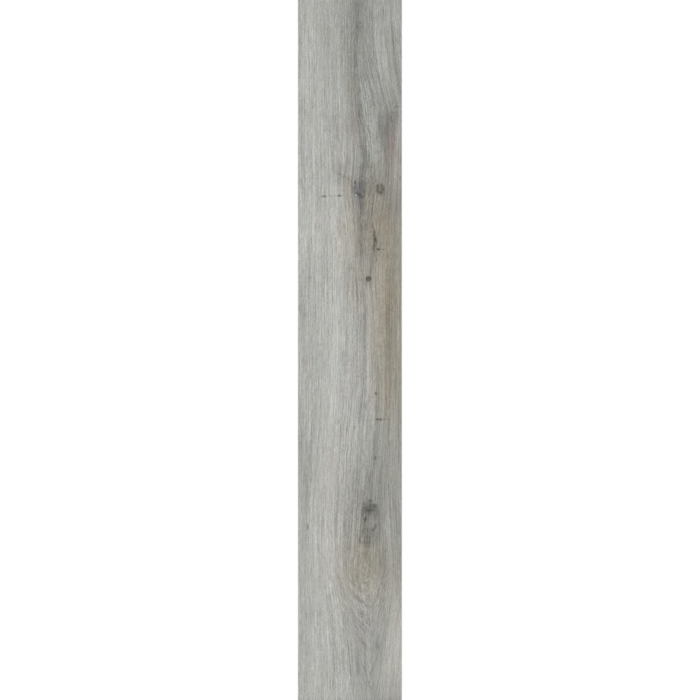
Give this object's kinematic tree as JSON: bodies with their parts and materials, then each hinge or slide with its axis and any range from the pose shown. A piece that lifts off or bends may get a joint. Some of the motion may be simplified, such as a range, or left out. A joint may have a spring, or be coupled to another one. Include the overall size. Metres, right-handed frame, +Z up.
{
  "type": "glue down vinyl plank",
  "caption": "Thin flat rectangular vinyl floor plank with a printed grey oak face and finely bevelled edges, glued flat to a subfloor and butted against its neighbours.",
  "frame": {"origin": "middle of the glued underside", "axes": "+Y along the plank's length, +X across its width, +Z up out of the printed face"},
  "size_m": [0.18, 1.22, 0.0025],
  "materials": {
    "vinyl": "matte grey vinyl, printed with grey oak grain and lightly embossed on its face"
  },
  "bodies": {
    "root": {"plank": "vinyl"}
  },
  "joints": []
}
